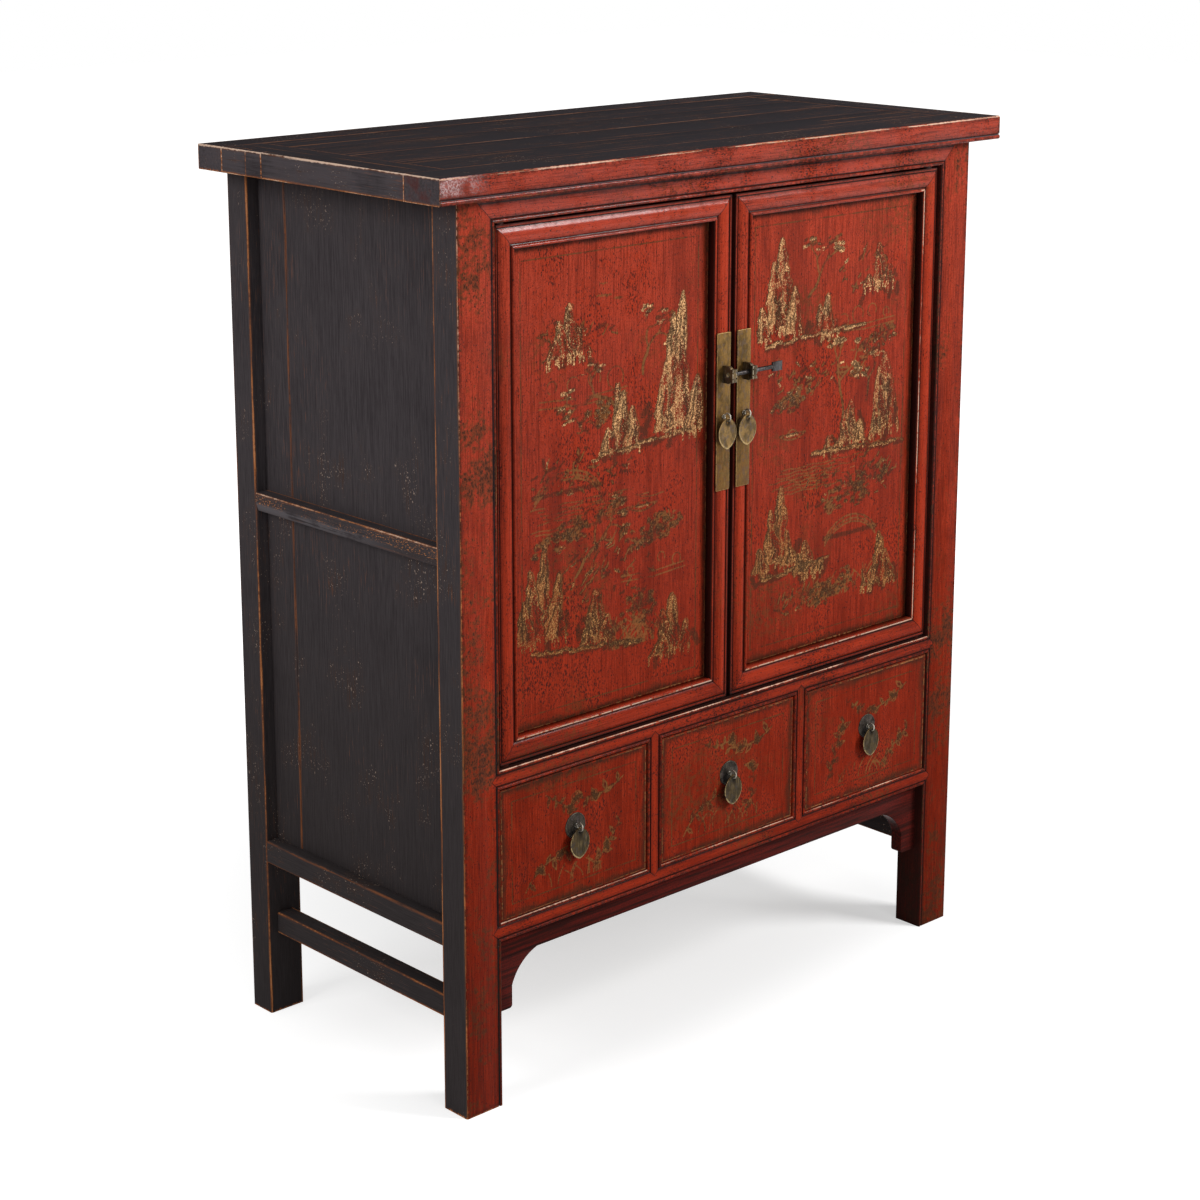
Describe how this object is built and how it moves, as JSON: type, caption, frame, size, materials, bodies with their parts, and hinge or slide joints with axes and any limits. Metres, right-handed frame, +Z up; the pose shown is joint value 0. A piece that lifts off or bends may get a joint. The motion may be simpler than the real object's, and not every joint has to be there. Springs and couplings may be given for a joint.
{
  "type": "side cabinet",
  "caption": "Side cabinet in worn red and black lacquer: a pair of painted doors with a pin lock over a row of drawers, on square posts with a shaped apron.",
  "frame": {"origin": "on the floor, under the middle of the cabinet's outer box", "axes": "+X across the front towards the right-hand door, +Y from the front to the back, +Z up; the front faces -Y"},
  "size_m": [1.064, 0.507, 1.254],
  "materials": {
    "red_lacquer": "worn red lacquer, half gloss, streaked along the grain",
    "painted_red_lacquer": "worn red lacquer with faded painted decoration",
    "dark_red_lacquer": "worn dark red lacquer, half gloss",
    "black_lacquer": "worn black lacquer, half gloss, with bare arrises",
    "bare_wood": "aged bare softwood, matt",
    "aged_brass": "dull aged brass",
    "dark_brass": "blackened brass",
    "pin_steel": "dull grey steel"
  },
  "bodies": {
    "carcass": {"top_front_rail": "red_lacquer", "top_back_rail": "black_lacquer", "top_left_rail": "black_lacquer", "top_right_rail": "black_lacquer", "top_boards": "black_lacquer", "top_braces": "bare_wood", "front_left_post": "red_lacquer", "front_right_post": "red_lacquer", "back_left_post": "black_lacquer", "back_right_post": "black_lacquer", "front_top_rail": "red_lacquer", "front_middle_rail": "red_lacquer", "front_bottom_rail": "red_lacquer", "drawer_dividers": "red_lacquer", "front_apron": "dark_red_lacquer", "left_apron_bracket": "dark_red_lacquer", "right_apron_bracket": "dark_red_lacquer", "side_top_rails": "bare_wood", "side_middle_rails": "black_lacquer", "side_bottom_rails": "black_lacquer", "side_stretchers": "black_lacquer", "left_side_boards": "black_lacquer", "right_side_boards": "black_lacquer", "back_rails": "black_lacquer", "back_boards": "black_lacquer", "cupboard_floor": "bare_wood", "case_bottom": "bare_wood", "shelf": "bare_wood", "shelf_bearers": "bare_wood", "drawer_guides": "bare_wood"},
    "left_door": {"left_door_hinge_stile": "red_lacquer", "left_door_meeting_stile": "red_lacquer", "left_door_top_rail": "red_lacquer", "left_door_bottom_rail": "red_lacquer", "left_door_panel": "painted_red_lacquer", "left_lock_plate": "aged_brass", "left_lock_lug": "aged_brass"},
    "right_door": {"right_door_hinge_stile": "red_lacquer", "right_door_meeting_stile": "red_lacquer", "right_door_top_rail": "red_lacquer", "right_door_bottom_rail": "red_lacquer", "right_door_panel": "painted_red_lacquer", "right_lock_plate": "aged_brass", "right_lock_lug": "aged_brass"},
    "left_pull": {"left_door_pull": "aged_brass"},
    "right_pull": {"right_door_pull": "aged_brass"},
    "pin": {"lock_pin": "pin_steel"},
    "left_drawer": {"left_drawer_front": "painted_red_lacquer", "left_drawer_box": "bare_wood", "left_drawer_rose": "dark_brass"},
    "centre_drawer": {"centre_drawer_front": "painted_red_lacquer", "centre_drawer_box": "bare_wood", "centre_drawer_rose": "dark_brass"},
    "right_drawer": {"right_drawer_front": "painted_red_lacquer", "right_drawer_box": "bare_wood", "right_drawer_rose": "dark_brass"},
    "left_drawer_handle": {"left_drawer_pull": "aged_brass"},
    "centre_drawer_handle": {"centre_drawer_pull": "aged_brass"},
    "right_drawer_handle": {"right_drawer_pull": "aged_brass"}
  },
  "joints": [
    {"name": "left_door_hinge", "type": "hinge", "parent": "carcass", "child": "left_door", "pos_m": [-0.411, -0.2175, 0.4771], "axis": [0, 0, -1], "range_deg": [0, 100]},
    {"name": "right_door_hinge", "type": "hinge", "parent": "carcass", "child": "right_door", "pos_m": [0.411, -0.2175, 0.4771], "axis": [0, 0, 1], "range_deg": [0, 100]},
    {"name": "lock_pin_slide", "type": "slide", "parent": "right_door", "child": "pin", "axis": [1, 0, 0], "range_m": [-0.027, 0.034]},
    {"name": "left_pull_swing", "type": "hinge", "parent": "left_door", "child": "left_pull", "pos_m": [-0.01975, -0.2391, 0.8825], "axis": [-1, 0, 0], "range_deg": [0, 95]},
    {"name": "right_pull_swing", "type": "hinge", "parent": "right_door", "child": "right_pull", "pos_m": [0.01975, -0.2391, 0.8825], "axis": [-1, 0, 0], "range_deg": [0, 95]},
    {"name": "left_drawer_slide", "type": "slide", "parent": "carcass", "child": "left_drawer", "axis": [0, -1, 0], "range_m": [0, 0.3]},
    {"name": "centre_drawer_slide", "type": "slide", "parent": "carcass", "child": "centre_drawer", "axis": [0, -1, 0], "range_m": [0, 0.3]},
    {"name": "right_drawer_slide", "type": "slide", "parent": "carcass", "child": "right_drawer", "axis": [0, -1, 0], "range_m": [0, 0.3]},
    {"name": "left_drawer_pull_swing", "type": "hinge", "parent": "left_drawer", "child": "left_drawer_handle", "pos_m": [-0.29433, -0.2396, 0.3624], "axis": [-1, 0, 0], "range_deg": [0, 95]},
    {"name": "centre_drawer_pull_swing", "type": "hinge", "parent": "centre_drawer", "child": "centre_drawer_handle", "pos_m": [0, -0.2396, 0.3624], "axis": [-1, 0, 0], "range_deg": [0, 95]},
    {"name": "right_drawer_pull_swing", "type": "hinge", "parent": "right_drawer", "child": "right_drawer_handle", "pos_m": [0.29433, -0.2396, 0.3624], "axis": [-1, 0, 0], "range_deg": [0, 95]}
  ]
}
